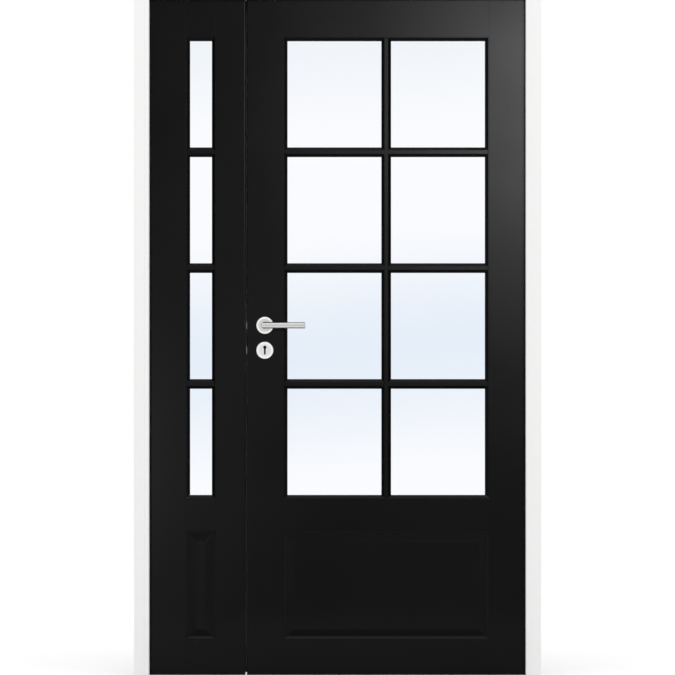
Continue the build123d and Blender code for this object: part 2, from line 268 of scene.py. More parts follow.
class Nodes:
    """Adds nodes to one tree, sets them and links them."""

    def __init__(self, tree: bpy.types.NodeTree) -> None:
        """Keep the tree that the nodes go in."""
        self.tree = tree

    @classmethod
    def fresh(cls, owner: Material | bpy.types.World) -> "Nodes":
        """Switch a material or a world to nodes and empty its tree.

        Args:
            owner: the material or the world.

        Returns:
            What adds nodes to its tree.
        """
        owner.use_nodes = True
        owner.node_tree.nodes.clear()
        return cls(owner.node_tree)

    def feed(self, node: bpy.types.Node, inputs: dict[str | int, object]) -> None:
        """Set or link a node's inputs.

        Args:
            node: the node.
            inputs: values or output sockets, by the input's name or place.
        """
        for name, value in inputs.items():
            if isinstance(value, Socket):
                self.tree.links.new(value, node.inputs[name])
            else:
                node.inputs[name].default_value = value

    def add(self, kind: str, inputs: dict[str | int, object] | None = None,
            **settings: object) -> bpy.types.Node:
        """Add one node.

        Args:
            kind: the node's type, without the ShaderNode prefix.
            inputs: values or output sockets for the node's inputs, by name or place.
            **settings: values for the node's own properties.

        Returns:
            The new node.
        """
        node = self.tree.nodes.new("ShaderNode" + kind)
        for name, value in settings.items():
            setattr(node, name, value)
        self.feed(node, inputs or {})
        return node

    def place(self) -> Socket:
        """Object coordinates."""
        return self.add("TexCoord").outputs["Object"]

    def math(self, operation: str, a: object, b: object = 0.0) -> Socket:
        """The result of one operation on two values or sockets."""
        return self.add("Math", {0: a, 1: b}, operation=operation).outputs[0]

    def noise(self, where: Socket, scale: object, detail: float) -> Socket:
        """Noise of one scale, about 0 to 1."""
        return self.add("TexNoise", {"Vector": where, "Scale": scale, "Detail": detail}).outputs[0]

    def remap(self, value: Socket, given: Range, wanted: Range = (0.0, 1.0)) -> Socket:
        """Carry a value smoothly from one range to another, held at its ends.

        Args:
            value: the socket to read.
            given: the values that give the ends of the wanted range.
            wanted: the range to reach.

        Returns:
            The mapped value.
        """
        ends = dict(zip(("From Min", "From Max", "To Min", "To Max"), (*given, *wanted)))
        node = self.add("MapRange", {"Value": value, **ends}, interpolation_type="SMOOTHSTEP")
        return node.outputs["Result"]

    def blend(self, share: Socket, first: Colour | Socket, second: Colour | Socket) -> Socket:
        """Mix two colours by the share of the second one."""
        first, second = (c if isinstance(c, Socket) else (*c, 1.0) for c in (first, second))
        return self.add("Mix", {"Factor": share, 6: first, 7: second}, data_type="RGBA").outputs[2]

    def bump(self, height: Socket, depth: float, normal: Socket | None = None) -> Socket:
        """Turn a height into a normal, where depth is what a height of 1 stands for."""
        start = {"Normal": normal} if normal else {}
        return self.add("Bump", {"Height": height, "Distance": depth, "Strength": 1.0, **start}).outputs[0]


class Effect:
    """A shared effect: a node group with named inputs and outputs, built once."""

    name = ""
    inputs: tuple[tuple[str, str, float], ...] = ()
    outputs: tuple[tuple[str, str], ...] = ()

    def group(self) -> bpy.types.NodeTree:
        """The effect's node group, made on first use."""
        return bpy.data.node_groups.get(self.name) or self.make()

    def make(self) -> bpy.types.NodeTree:
        """Make the group's sockets and fill it.

        Returns:
            The new group.
        """
        tree = bpy.data.node_groups.new(self.name, "ShaderNodeTree")
        for name, kind, value in self.inputs:
            socket = tree.interface.new_socket(name, in_out="INPUT", socket_type="NodeSocket" + kind)
            if kind == "Float":
                socket.default_value = value
        for name, kind in self.outputs:
            tree.interface.new_socket(name, in_out="OUTPUT", socket_type="NodeSocket" + kind)
        nodes = Nodes(tree)
        given = tree.nodes.new("NodeGroupInput").outputs
        nodes.feed(tree.nodes.new("NodeGroupOutput"), self.fill(nodes, given))
        return tree

    def fill(self, nodes: Nodes, given: Sockets) -> dict[str, Socket]:
        """Build the effect's nodes from its inputs, and give a socket for each named output."""
        raise NotImplementedError

    def use(self, nodes: Nodes, **values: object) -> Sockets:
        """Place the effect in a material with its own values, and give its outputs by name."""
        return nodes.add("Group", values, node_tree=self.group()).outputs


class EasedEdges(Effect):
    """Softens arrises as paint and polish do, and marks where they are."""

    name = "eased_edges"
    inputs = (("Radius", "Float", 0.001),)
    outputs = (("Normal", "Vector"), ("Edge", "Float"))

    samples = 6
    edge_to_flat = (0.93, 0.999)

    def fill(self, nodes: Nodes, given: Sockets) -> dict[str, Socket]:
        """Round the shading normal over the radius; the edge mask grows as it leaves the true normal.

        Args:
            nodes: adds nodes to the group.
            given: the group's inputs by name.

        Returns:
            The eased normal and the edge mask.
        """
        eased = nodes.add("Bevel", {"Radius": given["Radius"]}, samples=self.samples).outputs[0]
        true = nodes.add("NewGeometry").outputs["True Normal"]
        dot = nodes.add("VectorMath", {0: eased, 1: true}, operation="DOT_PRODUCT").outputs["Value"]
        return {"Normal": eased, "Edge": nodes.remap(dot, self.edge_to_flat, (1.0, 0.0))}


class Stipple(Effect):
    """The fine orange peel that a roller or a spray gun leaves, and the slow drift of its sheen."""

    name = "stipple"
    inputs = (("Vector", "Vector", 0.0), ("Grain", "Float", 500.0), ("Drift", "Float", 3.0))
    outputs = (("Height", "Float"), ("Sheen", "Float"))

    fine_detail = 2.0
    broad_detail = 4.0

    def fill(self, nodes: Nodes, given: Sockets) -> dict[str, Socket]:
        """Two scales of noise: fine for the height, broad for the sheen.

        Args:
            nodes: adds nodes to the group.
            given: the group's inputs by name.

        Returns:
            The height and the sheen, both about 0 to 1.
        """
        fine = nodes.noise(given["Vector"], given["Grain"], self.fine_detail)
        broad = nodes.noise(given["Vector"], given["Drift"], self.broad_detail)
        return {"Height": fine, "Sheen": broad}


class DustAndTopLight(Effect):
    """A thin, uneven dusting that settles on ledges; on the black paints the same mask lays painted light on
    upward faces.
    """

    name = "dust_and_top_light"
    inputs = (("Vector", "Vector", 0.0), ("Amount", "Float", 0.5))
    outputs = (("Mask", "Float"),)

    ledge_slope = (0.35, 0.95)
    speck_scale = 420.0
    speck_detail = 5.0
    speck_range = (0.3, 0.8)
    speck_share = (0.55, 1.0)

    def fill(self, nodes: Nodes, given: Sockets) -> dict[str, Socket]:
        """The upward share of the normal, broken up by noise and scaled by the amount.

        Args:
            nodes: adds nodes to the group.
            given: the group's inputs by name.

        Returns:
            The mask of ledge dusting and painted top light.
        """
        normal = nodes.add("NewGeometry").outputs["Normal"]
        up = nodes.add("SeparateXYZ", {0: normal}).outputs["Z"]
        speck = nodes.noise(given["Vector"], self.speck_scale, self.speck_detail)
        uneven = nodes.remap(speck, self.speck_range, self.speck_share)
        laid = nodes.math("MULTIPLY", nodes.remap(up, self.ledge_slope), uneven)
        return {"Mask": nodes.math("MULTIPLY", laid, given["Amount"])}


class Brushed(Effect):
    """The fine lines of brushed metal."""

    name = "brushed"
    inputs = (("Vector", "Vector", 0.0),)
    outputs = (("Height", "Float"), ("Tone", "Float"))

    line_detail = 3.0
    line_range = (0.25, 0.75)

    def fill(self, nodes: Nodes, given: Sockets) -> dict[str, Socket]:
        """Noise on coordinates that the material has stretched along the lines, as height and as tone."""
        lines = nodes.noise(given["Vector"], 1.0, self.line_detail)
        return {"Height": lines, "Tone": nodes.remap(lines, self.line_range)}


EDGES = EasedEdges()
STIPPLE = Stipple()
DUST_AND_TOP_LIGHT = DustAndTopLight()
BRUSHED = Brushed()


class Finish:
    """A finish: makes one material with a Principled shader and its own nodes."""

    name: str

    def material(self) -> Material:
        """Make the finish's material.

        Returns:
            The new material.
        """
        made = bpy.data.materials.new("finish_" + self.name)
        nodes = Nodes.fresh(made)
        shader = nodes.add("BsdfPrincipled")
        nodes.add("OutputMaterial", {"Surface": shader.outputs[0]})
        nodes.feed(shader, self.sockets(nodes))
        return made

    def sockets(self, nodes: Nodes) -> dict[str, object]:
        """Build the finish's nodes, and give constants and sockets for the shader's inputs."""
        raise NotImplementedError


@dataclass(frozen=True)
class SatinPaint(Finish):
    """Sprayed satin paint on timber.

    Attributes:
        name: the finish's name.
        colour: the paint.
        worn: its colour where an arris has been rubbed.
        dust_and_top_light: its colour on upward ledges: a dusting on the white frame, and on the black paints
            a paler grey that is painted light from above.
        gloss: the specular level.
        roughness: the middle of its roughness.
        dust_and_top_light_amount: how strongly that colour lies on upward ledges.
        arris: radius of the eased edges.
    """

    name: str
    colour: Colour
    worn: Colour
    dust_and_top_light: Colour
    gloss: float
    roughness: float
    dust_and_top_light_amount: float
    arris: float = 0.0008

    grain = 620.0
    drift = 2.4
    depth = 0.000008
    sheen_range = (0.3, 0.7)
    sheen_spread = 0.02
    dust_dulls = 0.3

    def sockets(self, nodes: Nodes) -> dict[str, object]:
        """Stippled satin with softened, slightly rubbed arrises and another colour on its upward ledges: a
        dusting on the frame, and on the black paints a paler grey that is painted light from above.

        Args:
            nodes: adds nodes to the material.

        Returns:
            Constants and sockets for the shader's inputs.
        """
        where = nodes.place()
        edges = EDGES.use(nodes, Radius=self.arris)
        stipple = STIPPLE.use(nodes, Vector=where, Grain=self.grain, Drift=self.drift)
        # Upward ledges take the dust_and_top_light colour: a dusting on the frame, and painted light from
        # above on the black paints.
        dust_and_top_light = DUST_AND_TOP_LIGHT.use(nodes, Vector=where, Amount=self.dust_and_top_light_amount)["Mask"]
        rubbed = nodes.math("MULTIPLY", edges["Edge"], stipple["Sheen"])
        colour = nodes.blend(dust_and_top_light, nodes.blend(rubbed, self.colour, self.worn), self.dust_and_top_light)
        smooth_to_rough = (self.roughness - self.sheen_spread, self.roughness + self.sheen_spread)
        sheen = nodes.remap(stipple["Sheen"], self.sheen_range, smooth_to_rough)
        return {
            "Base Color": colour,
            "Roughness": nodes.math("ADD", sheen, nodes.math("MULTIPLY", dust_and_top_light, self.dust_dulls)),
            "Specular IOR Level": self.gloss,
            "Normal": nodes.bump(stipple["Height"], self.depth, edges["Normal"]),
        }


@dataclass(frozen=True)
class BrushedSteel(Finish):
    """Satin stainless steel.

    Attributes:
        name: the finish's name.
        colour: the metal.
        roughness: the middle of its roughness.
        lines: how the brush lines run.
        axis: x and z of the axis that ring lines run round.
        rim: distance from that axis past which the metal is painted brighter, as a painted highlight on the
            rounded rim, or 0 for none.
        rim_highlight_gain: how much brighter that painted highlight makes the metal.
    """

    name: str
    colour: Colour
    roughness: float
    lines: Grain
    axis: Range = (0.0, 0.0)
    rim: float = 0.0
    rim_highlight_gain: float = 1.0

    arris = 0.0004
    depth = 0.000006
    ring_density = 1500.0
    rim_blur = 0.0003
    dark_tone = 0.86
    line_spread = 0.04
    haze_grain = 900.0
    haze_drift = 70.0
    haze_range = (0.45, 0.7)
    haze_spread = 0.05

    def from_axis(self, nodes: Nodes, where: Socket) -> Socket:
        """Distance from the axis that ring lines run round.

        Args:
            nodes: adds nodes to the material.
            where: Object coordinates.

        Returns:
            The distance in metres.
        """
        apart = nodes.add("Mapping", {"Vector": where, "Location": (-self.axis[0], 0.0, -self.axis[1])})
        flat = nodes.add("VectorMath", {0: apart.outputs[0], 1: (1.0, 0.0, 1.0)}, operation="MULTIPLY")
        return nodes.add("VectorMath", {0: flat.outputs[0]}, operation="LENGTH").outputs["Value"]

    def along_lines(self, nodes: Nodes, where: Socket) -> Socket:
        """Coordinates stretched along the brush lines.

        Args:
            nodes: adds nodes to the material.
            where: Object coordinates.

        Returns:
            Object coordinates scaled by the grain, or the distance from the axis for rings.
        """
        if self.lines is not Grain.RINGS:
            return nodes.add("Mapping", {"Vector": where, "Scale": self.lines.value}).outputs[0]
        ring = nodes.math("MULTIPLY", self.from_axis(nodes, where), self.ring_density)
        return nodes.add("CombineXYZ", {"X": ring}).outputs[0]

    def toned(self, gain: float) -> Colour:
        """The metal's colour, made darker or brighter."""
        return tuple(gain * c for c in self.colour)

    def sockets(self, nodes: Nodes) -> dict[str, object]:
        """Brushed lines in the tone, the roughness and the bump, with hazy finger marks and a painted
        highlight on the rim.

        Args:
            nodes: adds nodes to the material.

        Returns:
            Constants and sockets for the shader's inputs.
        """
        where = nodes.place()
        edges = EDGES.use(nodes, Radius=self.arris)
        lines = BRUSHED.use(nodes, Vector=self.along_lines(nodes, where))
        marks = STIPPLE.use(nodes, Vector=where, Grain=self.haze_grain, Drift=self.haze_drift)
        colour = nodes.blend(lines["Tone"], self.toned(self.dark_tone), self.colour)
        # Painted highlight: past the rim the colour is made brighter, standing in for light caught by the
        # rounded rim.
        if self.rim:
            step = (self.rim - self.rim_blur, self.rim + self.rim_blur)
            rim_highlight = nodes.remap(self.from_axis(nodes, where), step)
            colour = nodes.blend(rim_highlight, colour, self.toned(self.rim_highlight_gain))
        rough_to_smooth = (self.roughness + self.line_spread, self.roughness - self.line_spread)
        brushed = nodes.remap(lines["Tone"], (0.0, 1.0), rough_to_smooth)
        haze = nodes.remap(marks["Sheen"], self.haze_range, (0.0, self.haze_spread))
        return {
            "Base Color": colour,
            "Metallic": 1.0,
            "Roughness": nodes.math("ADD", brushed, haze),
            "Normal": nodes.bump(lines["Height"], self.depth, edges["Normal"]),
        }


@dataclass(frozen=True)
class SoftRubber(Finish):
    """Extruded rubber seal.

    Attributes:
        name: the finish's name.
        colour: the rubber.
        bloom: its colour where it has bloomed or got dusty.
    """

    name: str
    colour: Colour
    bloom: Colour

    grain = 1400.0
    drift = 25.0
    depth = 0.00003
    dust_and_top_light_amount = 0.25
    gloss = 0.25
    bloom_range = (0.4, 0.8)
    bloom_share = (0.0, 0.5)
    skin_range = (0.3, 0.7)
    skin_roughness = (0.55, 0.7)

    def sockets(self, nodes: Nodes) -> dict[str, object]:
        """A dull skin with a fine grain and a faint bloom.

        Args:
            nodes: adds nodes to the material.

        Returns:
            Constants and sockets for the shader's inputs.
        """
        where = nodes.place()
        skin = STIPPLE.use(nodes, Vector=where, Grain=self.grain, Drift=self.drift)
        dust_and_top_light = DUST_AND_TOP_LIGHT.use(nodes, Vector=where, Amount=self.dust_and_top_light_amount)["Mask"]
        faint = nodes.remap(skin["Sheen"], self.bloom_range, self.bloom_share)
        return {
            "Base Color": nodes.blend(dust_and_top_light, nodes.blend(faint, self.colour, self.bloom), self.bloom),
            "Roughness": nodes.remap(skin["Sheen"], self.skin_range, self.skin_roughness),
            "Specular IOR Level": self.gloss,
            "Normal": nodes.bump(skin["Height"], self.depth),
        }


@dataclass(frozen=True)
class PaneGlass(Finish):
    """Clear sheet glass with a painted reflection: a soft pale blue tone that comes and goes down its height.

    Attributes:
        name: the finish's name.
        clear: the glass where it is clearest.
        pale: its tone at the top of the sheet, part of the painted reflection.
        blue: its tone where the painted reflection is bluest.
        tilt: how far the painted reflection's bands climb for each metre across.
    """

    name: str
    clear: Colour
    pale: Colour
    blue: Colour
    tilt: float

    reflection_middle = 1.0
    reflection_reach = 0.42
    reflection_top_rise = (1.62, 2.05)
    drift_scale = 1.6
    drift_detail = 1.0
    drift_height = 0.12
    index = 1.45

    def sockets(self, nodes: Nodes) -> dict[str, object]:
        """A painted reflection: tone bands on the height of the sheet, broken a little by slow noise, and no
        roughness.

        Args:
            nodes: adds nodes to the material.

        Returns:
            Constants and sockets for the shader's inputs.
        """
        where = nodes.place()
        place = nodes.add("SeparateXYZ", {0: where}).outputs
        level = nodes.math("SUBTRACT", place["Z"], nodes.math("MULTIPLY", place["X"], self.tilt))
        drift = nodes.noise(where, self.drift_scale, self.drift_detail)
        height = nodes.math("ADD", level, nodes.math("MULTIPLY", drift, self.drift_height))
        # Painted reflection: bluest round the middle height, paler at the top of the sheet.
        away = nodes.math("ABSOLUTE", nodes.math("SUBTRACT", height, self.reflection_middle))
        reflection_band = nodes.remap(away, (0.0, self.reflection_reach), (1.0, 0.0))
        top = nodes.remap(height, self.reflection_top_rise)
        return {
            "Base Color": nodes.blend(top, nodes.blend(reflection_band, self.clear, self.blue), self.pale),
            "Roughness": 0.0,
            "IOR": self.index,
            "Transmission Weight": 1.0,
        }


class Palette:
    """The door's finishes."""

    # A pale grey for the upward faces of the black paints: painted light from above, laid on as a dusting.
    black_dust_and_top_light = (0.06, 0.059, 0.057)

    def __init__(self) -> None:
        """Make each finish once."""
        self.leaf = SatinPaint(
            "leaf_black", (0.0008, 0.0008, 0.0009), worn=(0.003, 0.003, 0.0031), dust_and_top_light=self.black_dust_and_top_light,
            gloss=0.062, roughness=0.22, dust_and_top_light_amount=0.42).material()
        # Painted light: the panel mouldings take a paler, duller black than the leaves, so that their slopes
        # in shade don't read darker, and more painted top light on their ledges.
        self.moulding = SatinPaint(
            "moulding_black_painted_light", (0.0111, 0.0111, 0.0113), worn=(0.0125, 0.0125, 0.0127), dust_and_top_light=self.black_dust_and_top_light,
            gloss=0.006, roughness=0.30, dust_and_top_light_amount=0.6).material()
        self.frame = SatinPaint(
            "frame_white", (0.88, 0.88, 0.875), worn=(0.82, 0.815, 0.80), dust_and_top_light=(0.62, 0.61, 0.59),
            gloss=0.10, roughness=0.42, dust_and_top_light_amount=0.18).material()
        self.hinge = BrushedSteel("hinge_steel", (0.60, 0.60, 0.595), 0.30, Grain.ALONG_Z).material()
        self.lock = BrushedSteel("lock_steel", (0.57, 0.57, 0.565), 0.33, Grain.ALONG_Z).material()
        self.lever = BrushedSteel("lever_steel", (0.56, 0.558, 0.553), 0.24, Grain.ALONG_X).material()
        # Painted light: the rose and the key plate are the lever's steel made paler, the key plate the more,
        # for the light that they catch.
        self.rose = BrushedSteel(
            "rose_steel", (0.68, 0.677, 0.67), 0.24, Grain.RINGS, self.axis("front_rose"),
            rim=LeverSet.rim_start, rim_highlight_gain=1.235).material()
        self.key = BrushedSteel(
            "key_plate_steel", (0.775, 0.772, 0.765), 0.24, Grain.RINGS, self.axis("front_key_plate"),
            rim=LeverSet.rim_start, rim_highlight_gain=1.12).material()
        self.pale_seal = SoftRubber("pale_seal", (0.62, 0.62, 0.61), bloom=(0.5, 0.49, 0.48)).material()
        self.grey_seal = SoftRubber("grey_seal", (0.12, 0.12, 0.118), bloom=(0.16, 0.158, 0.155)).material()
        self.black_bead = SoftRubber("black_bead", (0.01, 0.01, 0.01), bloom=(0.03, 0.03, 0.029)).material()
        # The glass's pale and blue tones are a painted reflection, fixed on the sheet.
        self.glass = PaneGlass(
            "pane_glass", clear=(0.955, 0.965, 0.99), pale=(0.85, 0.89, 0.935), blue=(0.785, 0.853, 0.945),
            tilt=0.06).material()

    def axis(self, node: str) -> Range:
        """x and z of a round plate's centre."""
        return tuple(Bounds.of(node).centre[[0, 2]])


@dataclass
class PackedPieces:
    """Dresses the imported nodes, by their slots or by name.

    Attributes:
        palette: the door's finishes.
    """

    palette: Palette

    by_slot = {
        "frame_paint": "frame",
        "frame_seal": "pale_seal",
        "hinge_steel": "hinge",
        "leaf_paint": "leaf",
        "glass": "glass",
        "lock_steel": "lock",
        "lever_steel": "lever",
        "meeting_seal": "grey_seal",
    }
    by_node = {"side_panel_moulding": "moulding", "main_panel_moulding": "moulding"}

    def build(self) -> None:
        """Put each node's finish in its material slots."""
        for row in frame["record"]["subparts"]:
            finish = self.by_node.get(row["node"], self.by_slot[row["material_slot"]])
            for place in frame["nodes"][row["node"]].material_slots:
                place.material = getattr(self.palette, finish)
            log.info("%s dressed as %s", row["node"], finish)


@dataclass
class LeverSet:
    """Roses, key plates and levers of both faces.

    Attributes:
        palette: the door's finishes.
        rim: radius of the plates' rounded rims.
        rim_start: distance from the middle where a rim rises from the flat face.
        rim_rise: how far it rises.
        lip: the small ease round the hole in a plate.
        bearing_clearance: play between a lever and its rose.
        corner: radius that eases the mitre of a lever.
        tip: radius that eases the end of a lever.
        keyhole_radius: radius of a keyhole's round top.
        keyhole_rise: height of its centre over the plate's.
        keyhole_fall: depth of its slot under the plate's centre.
        keyhole_half: half the slot's width.
        keyhole_eye: height of the point that the plate's rays start from.
    """

    palette: Palette
    rim: float = 0.0030
    rim_start: float = 0.0182
    rim_rise: float = 0.0004
    lip: float = 0.0004
    bearing_clearance: float = 0.0003
    corner: float = 0.0016
    tip: float = 0.0012
    keyhole_radius: float = 0.0048
    keyhole_rise: float = 0.0090
    keyhole_fall: float = 0.0125
    keyhole_half: float = 0.0025
    keyhole_eye: float = 0.0050

    rim_steps = 10
    rose_steps = 96
    plate_steps = 192
    bar_steps = 64
    neck_rows = 6
    corner_rows = 8
    bar_rows = 14
    tip_rows = 7
    crease = 50.0
    tiny = 1e-9

    def build(self) -> None:
        """Build and dress both faces."""
        for side in Side:
            self.rose(side)
            self.key_plate(side)
            self.lever(side)

    def plate_profile(self, box: Bounds) -> tuple[np.ndarray, np.ndarray]:
        """Profile of a round plate: flat face, small slope, then a rim eased by a quarter circle.

        On the rim r = R - e + e sin a and h = H - e + e cos a for a from 0 to 90 degrees, with R the plate's
        radius, H its thickness and e the rim's radius; then the edge goes straight down to the foot.

        Args:
            box: the plate's box.

        Returns:
            Radii from the slope to the foot, and heights that have three more places ahead of them, for the
            foot, the wall and the lip of the hole in the middle.
        """
        radius = box.size[0] / 2
        height = box.size[1]
        face = height - self.rim_rise
        angle = np.linspace(0.0, np.pi / 2, self.rim_steps)
        slope = [self.rim_start, self.rim_start + self.rim_rise]
        radii = np.concatenate([slope, radius - self.rim + self.rim * np.sin(angle), [radius]])
        middle = [0.0, face - self.lip, face, face, height]
        return radii, np.concatenate([middle, height - self.rim + self.rim * np.cos(angle), [0.0]])

    def rose(self, side: Side) -> None:
        """A turned rose: bearing hole, flat face, rounded rim.

        Args:
            side: which face of the leaf.
        """
        box = Bounds.of(side.word + "_rose")
        bearing = Bounds.of(side.word + "_lever").size[2] / 2 + self.bearing_clearance
        radii, heights = self.plate_profile(box)
        radii = np.concatenate([[bearing, bearing, bearing + self.lip], radii])
        seat = face_seat(box.centre[0], box.foot(side), box.centre[2], side)
        piece = Piece(side.word + "_rose_cap", "main_leaf", "lever_steel")
        piece.add(turned(radii, heights, self.rose_steps, seat))
        piece.build(self.palette.rose, (side.word + "_rose",))

    def keyhole(self, turn: np.ndarray) -> np.ndarray:
        """Distance from the eye to a keyhole's edge.

        The keyhole is a round top joined to a slot. Along the ray at turn t from the upright, the slot ends
        at half / |sin t| or at its foot, the round top at c cos t + sqrt(r^2 - c^2 sin^2 t) with c the height
        of its centre over the eye, and the edge is the farther of the two.

        Args:
            turn: angles from the upright.

        Returns:
            The distance along each ray.
        """
        sine, cosine = np.sin(turn), np.cos(turn)
        over = self.keyhole_rise - self.keyhole_eye
        fall = (self.keyhole_eye + self.keyhole_fall) / np.maximum(-cosine, self.tiny)
        slot = np.minimum(self.keyhole_half / np.maximum(np.abs(sine), self.tiny), fall)
        top = over * cosine + np.sqrt(np.maximum(self.keyhole_radius**2 - (over * sine) ** 2, 0.0))
        return np.maximum(np.where(cosine < 0, slot, 0.0), top)

    def key_plate(self, side: Side) -> None:
        """A round plate pierced by a keyhole, on rays from the eye.

        Along the ray at turn t the keyhole's edge comes first. A circle of radius r about the plate's centre
        follows at -e cos t + sqrt(r^2 - e^2 sin^2 t), with e the height of the eye.

        Args:
            side: which face of the leaf.
        """
        box = Bounds.of(side.word + "_key_plate")
        eye = self.keyhole_eye
        foot_angle = math.atan2(self.keyhole_half, eye + self.keyhole_fall)
        turn = np.linspace(0.0, 2 * np.pi, self.plate_steps, endpoint=False)
        turn = np.sort(np.append(turn, [np.pi - foot_angle, np.pi + foot_angle]))
        sine, cosine = np.sin(turn), np.cos(turn)
        radii, heights = self.plate_profile(box)
        circles = -eye * cosine + np.sqrt(radii[:, None] ** 2 - (eye * sine) ** 2)
        edge = self.keyhole(turn)
        reach = np.concatenate([[edge, edge, edge + self.lip], circles])
        local = stacked(reach * sine, eye + reach * cosine, heights[:, None])
        seat = face_seat(box.centre[0], box.foot(side), box.centre[2], side)
        piece = Piece(side.word + "_key_cap", "main_leaf", "lever_steel")
        piece.add(Patch(seat.place(local), wrap_columns=True))
        piece.build(self.palette.key, (side.word + "_key_plate",))

    def lever(self, side: Side) -> None:
        """A round bar that leaves the rose, turns a mitred corner and runs straight to its tip.

        The line at angle a round the bar leaves the leaf at x = r cos a, z = r sin a, meets the mitre where
        its depth is reach - r cos a, and goes on along X at that depth. Its corner is a quadratic curve whose
        middle point is the mitre, and its end draws in on a quarter circle to the flat tip.

        Args:
            side: which face of the leaf.
        """
        box = Bounds.of(side.word + "_lever")
        radius = box.size[2] / 2
        reach = box.size[1] - radius
        length = box.size[0] - radius
        angle = np.linspace(0.0, 2 * np.pi, self.bar_steps, endpoint=False)
        x = radius * np.cos(angle)
        rise = radius * np.sin(angle)
        depth = reach - x
        neck = np.linspace(0.0, 1.0, self.neck_rows)[:, None] * (depth - self.corner)
        bend = np.linspace(0.0, 1.0, self.corner_rows)[:, None]
        straight = length - self.tip - x - self.corner
        bar = np.linspace(0.0, 1.0, self.bar_rows)[:, None] * straight + x + self.corner
        end = np.linspace(0.0, np.pi / 2, self.tip_rows)[1:, None]
        draw = np.concatenate([1 - self.tip / radius * (1 - np.cos(end)), [[0.0]]])
        tip = np.concatenate([length - self.tip + self.tip * np.sin(end), [[length]]])
        local = np.concatenate([
            stacked(x, rise, neck),
            stacked(x + self.corner * bend**2, rise, depth - self.corner * (1 - bend) ** 2),
            stacked(bar, rise, depth),
            stacked(tip, draw * rise, reach - draw * x),
        ])
        seat = face_seat(box.low[0] + radius, box.foot(side), box.centre[2], side)
        piece = Piece(side.word + "_lever_bar", "lever", "lever_steel", sharp=self.crease)
        piece.add(Patch(seat.place(local), wrap_columns=True))
        piece.build(self.palette.lever, (side.word + "_lever",))


@dataclass(frozen=True)
class Screw:
    """A countersunk screw head with a cross recess.

    Attributes:
        radius: the head's radius.
        lift: height of its dome.
        depth: depth of the cross.
        arm_half: half the width of the cross's arms at the face.
        arm_slope: width of the slope at an arm's side.
        reach: distance from the middle to an arm's end.
        end_slope: width of the slope at an arm's end.
    """

    radius: float = 0.0038
    lift: float = 0.00035
    depth: float = 0.0011
    arm_half: float = 0.00088
    arm_slope: float = 0.000495
    reach: float = 0.0024
    end_slope: float = 0.00044

    rings = 12
    steps = 48

    def patch(self, seat: Seat) -> Patch:
        """One head: a low dome with a cross pressed into it.

        Height at radius r and turn t is lift (1 - (r / R)^2), less the depth of the cross where the nearer
        arm's middle is closer than half its width and r is inside the cross, with sloping sides and ends.

        Args:
            seat: the middle of the head, on the plate.

        Returns:
            The head's surface.
        """
        radius = np.linspace(0.0, self.radius, self.rings)[:, None]
        turn = np.linspace(0.0, 2 * np.pi, self.steps, endpoint=False)[None, :]
        across = radius * np.cos(turn)
        along = radius * np.sin(turn)
        arm = np.minimum(np.abs(across), np.abs(along))
        inside = np.clip((self.arm_half - arm) / self.arm_slope, 0.0, 1.0)
        inside = inside * np.clip((self.reach - radius) / self.end_slope, 0.0, 1.0)
        height = self.lift * (1 - (radius / self.radius) ** 2) - self.depth * inside
        return Patch(seat.place(stacked(across, along, height)), wrap_columns=True)


@dataclass
class Hinges:
    """Screws and turned caps of the lift-off hinges.

    Attributes:
        palette: the door's finishes.
        count: hinges on each leaf.
        plate_height: height of a hinge plate.
        screw_rise: distance of the outer screws from the middle one.
        screw_inset: distance of the screws from the leaf's back face.
        cap_lift: height of a cap over the end of its knuckle.
        cap_power: the power p that rolls a cap's edge; 1 is an even dome, and less is squarer.
    """

    palette: Palette
    count: int = 3
    plate_height: float = 0.100
    screw_rise: float = 0.034
    screw_inset: float = 0.0165
    cap_lift: float = 0.0030
    cap_power: float = 0.6

    cap_rings = 12
    cap_steps = 40

    def build(self) -> None:
        """Build and dress the hinges of both leaves and both jambs."""
        leaf_back = Bounds.of("main_hinge_stile").high[1]
        faces = {
            "left_frame_hinges": ("frame", Bounds.of("left_jamb").high[0], 1.0, -1.0),
            "right_frame_hinges": ("frame", Bounds.of("right_jamb").low[0], -1.0, -1.0),
            "side_leaf_hinges": ("side_leaf", Bounds.of("side_hinge_stile").low[0], -1.0, 1.0),
            "main_leaf_hinges": ("main_leaf", Bounds.of("main_hinge_stile").high[0], 1.0, 1.0),
        }
        half = self.plate_height / 2
        for node, (body, x, way, up) in faces.items():
            box = Bounds.of(node)
            screws = Piece(node + "_screws", body, "hinge_steel")
            caps = Piece(node + "_caps", body, "hinge_steel")
            for height in np.linspace(box.low[2] + half, box.high[2] - half, self.count):
                for rise in (-self.screw_rise, 0.0, self.screw_rise):
                    seat = edge_seat(x, leaf_back - self.screw_inset, height + rise, way)
                    screws.add(Screw().patch(seat))
                caps.add(self.cap(box, height + up * half, up))
            screws.build(self.palette.hinge)
            caps.build(self.palette.hinge)

    def cap(self, box: Bounds, z: float, up: float) -> Patch:
        """A shallow dome with a rolled edge.

        At a from 0 to 90 degrees, r = R sin^p a and h = lift cos a, with R the knuckle's radius.

        Args:
            box: the box of a hinge node, which is as wide as a knuckle and ends at the knuckles' backs.
            z: height of the knuckle's end.
            up: 1 where the cap tops a knuckle, -1 where it ends one below.

        Returns:
            The cap's surface.
        """
        radius = box.size[0] / 2
        angle = np.linspace(0.0, np.pi / 2, self.cap_rings)
        middle = (box.centre[0], box.high[1] - radius, z)
        seat = Seat(middle, (1.0, 0.0, 0.0), (0.0, 1.0, 0.0), (0.0, 0.0, up))
        radii = radius * np.sin(angle) ** self.cap_power
        return turned(radii, self.cap_lift * np.cos(angle), self.cap_steps, seat)


